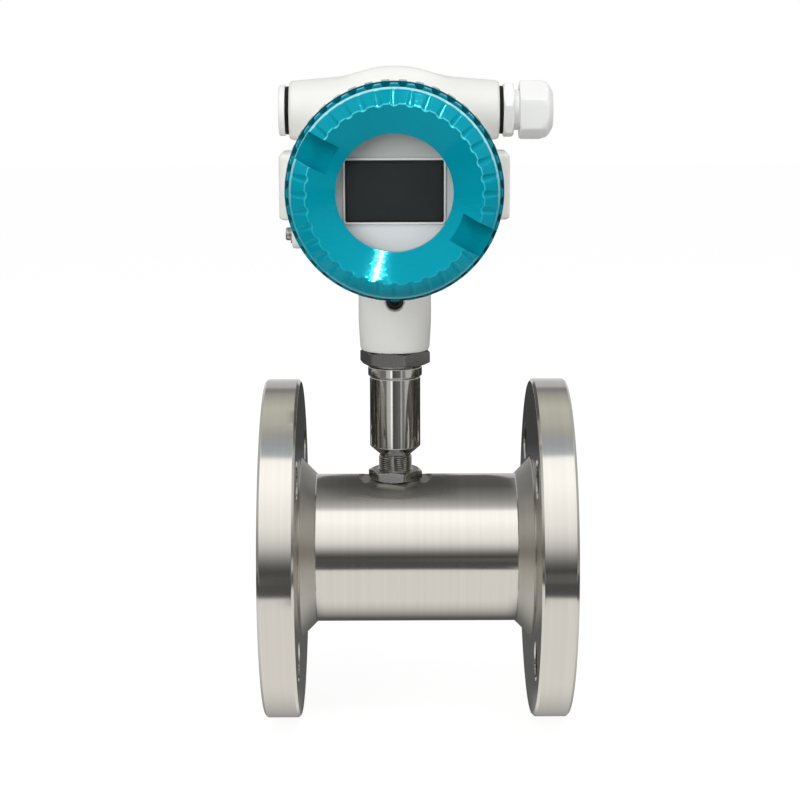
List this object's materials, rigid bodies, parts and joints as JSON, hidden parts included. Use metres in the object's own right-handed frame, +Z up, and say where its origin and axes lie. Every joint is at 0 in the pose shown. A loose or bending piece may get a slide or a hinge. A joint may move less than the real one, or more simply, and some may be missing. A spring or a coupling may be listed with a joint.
{
  "type": "turbine flow meter",
  "caption": "Flanged stainless flow tube with an inner turbine rotor and a pickup stem that carries a swivelling two-compartment indicator head with a window and screw covers.",
  "frame": {"origin": "centre of the inlet flange's raised face, on the pipe axis", "axes": "+X along the pipe with the flow, +Z up the stem, display looking along -Y"},
  "size_m": [0.15, 0.165, 0.3155],
  "materials": {
    "stainless": "turned stainless steel",
    "turned_steel": "finely turned stainless steel",
    "nut_steel": "plain stainless steel",
    "rotor_steel": "machined magnetic stainless steel",
    "spring_steel": "spring steel",
    "carbide": "ground carbide",
    "soft_iron": "turned soft iron",
    "magnet": "plated magnet",
    "bobbin_plastic": "moulded",
    "copper_winding": "enamelled copper wire",
    "circuit_board": "solder mask",
    "black_rubber": "moulded rubber",
    "white_paint": "off-white powder coat",
    "teal_paint": "gloss enamel",
    "screw_steel": "zinc plated",
    "display_plate": "satin plate",
    "lcd_screen": "dark display film",
    "window_glass": "toughened glass",
    "black_plastic": "moulded",
    "white_plastic": "moulded nylon"
  },
  "bodies": {
    "meter_body": {"inlet_flange": "stainless", "outlet_flange": "stainless", "body_tube": "stainless", "inlet_guide": "stainless", "outlet_guide": "stainless", "inlet_bearing_bush": "carbide", "outlet_bearing_bush": "carbide", "inlet_thrust_pad": "carbide", "outlet_thrust_pad": "carbide", "inlet_retaining_ring": "spring_steel", "outlet_retaining_ring": "spring_steel", "pickup_sleeve": "turned_steel", "stem_lock_nut": "nut_steel", "pole_piece": "soft_iron", "coil_bobbin": "bobbin_plastic", "pickup_coil": "copper_winding", "pickup_magnet": "magnet", "preamplifier_board": "circuit_board", "stem_adapter": "turned_steel", "head_lock_nut": "nut_steel", "neck_seal": "black_rubber"},
    "rotor": {"rotor": "rotor_steel", "rotor_shaft": "carbide"},
    "head": {"housing": "white_paint", "neck_set_screw": "screw_steel", "earth_washer": "screw_steel", "earth_screw": "screw_steel", "main_board": "circuit_board", "display_board": "circuit_board", "board_spacers": "screw_steel", "display_screws": "screw_steel", "display_plate": "display_plate", "lcd_panel": "lcd_screen", "terminal_block": "black_plastic", "terminal_screws": "screw_steel", "wire_bush": "black_rubber", "gland_gasket": "black_rubber", "gland_body": "white_plastic"},
    "front_cover_seal": {"front_cover_seal": "black_rubber"},
    "front_cover": {"front_cover": "teal_paint", "window_gasket": "black_rubber", "window_glass": "window_glass", "window_retaining_ring": "screw_steel"},
    "rear_cover_seal": {"rear_cover_seal": "black_rubber"},
    "rear_cover": {"rear_cover": "teal_paint"},
    "gland_seal": {"gland_seal": "black_rubber"},
    "gland_nut": {"gland_nut": "white_plastic"},
    "plug_gasket": {"plug_gasket": "black_rubber"},
    "blind_plug": {"blind_plug": "white_plastic"}
  },
  "joints": [
    {"name": "rotor_spin", "type": "hinge", "parent": "meter_body", "child": "rotor", "pos_m": [0.065, 0, 0], "axis": [1, 0, 0], "continuous": true},
    {"name": "head_swivel", "type": "hinge", "parent": "meter_body", "child": "head", "pos_m": [0.065, 0, 0.0985], "axis": [0, 0, 1], "range_deg": [-170, 170]},
    {"name": "front_cover_travel", "type": "slide", "parent": "head", "child": "front_cover_seal", "axis": [0, -1, 0], "range_m": [0, 0.01]},
    {"name": "front_cover_turn", "type": "hinge", "parent": "front_cover_seal", "child": "front_cover", "pos_m": [0.065, -0.04, 0.1775], "axis": [0, -1, 0], "range_deg": [0, 1800]},
    {"name": "rear_cover_travel", "type": "slide", "parent": "head", "child": "rear_cover_seal", "axis": [0, 1, 0], "range_m": [0, 0.01]},
    {"name": "rear_cover_turn", "type": "hinge", "parent": "rear_cover_seal", "child": "rear_cover", "pos_m": [0.065, 0.04, 0.1775], "axis": [0, 1, 0], "range_deg": [0, 1800]},
    {"name": "gland_nut_travel", "type": "slide", "parent": "head", "child": "gland_seal", "axis": [1, 0, 0], "range_m": [0, 0.0045]},
    {"name": "gland_nut_turn", "type": "hinge", "parent": "gland_seal", "child": "gland_nut", "pos_m": [0.125, 0.006, 0.2122], "axis": [1, 0, 0], "range_deg": [0, 1080]},
    {"name": "blind_plug_travel", "type": "slide", "parent": "head", "child": "plug_gasket", "axis": [-1, 0, 0], "range_m": [0, 0.009]},
    {"name": "blind_plug_turn", "type": "hinge", "parent": "plug_gasket", "child": "blind_plug", "pos_m": [0.015, 0.006, 0.2122], "axis": [-1, 0, 0], "range_deg": [0, 2160]}
  ],
  "couplings": [
    {"joint": "front_cover_travel", "follows": "front_cover_turn", "m_per_rad": 0.00031831},
    {"joint": "rear_cover_travel", "follows": "rear_cover_turn", "m_per_rad": 0.00031831},
    {"joint": "gland_nut_travel", "follows": "gland_nut_turn", "m_per_rad": 0.00023873},
    {"joint": "blind_plug_travel", "follows": "blind_plug_turn", "m_per_rad": 0.00023873}
  ]
}
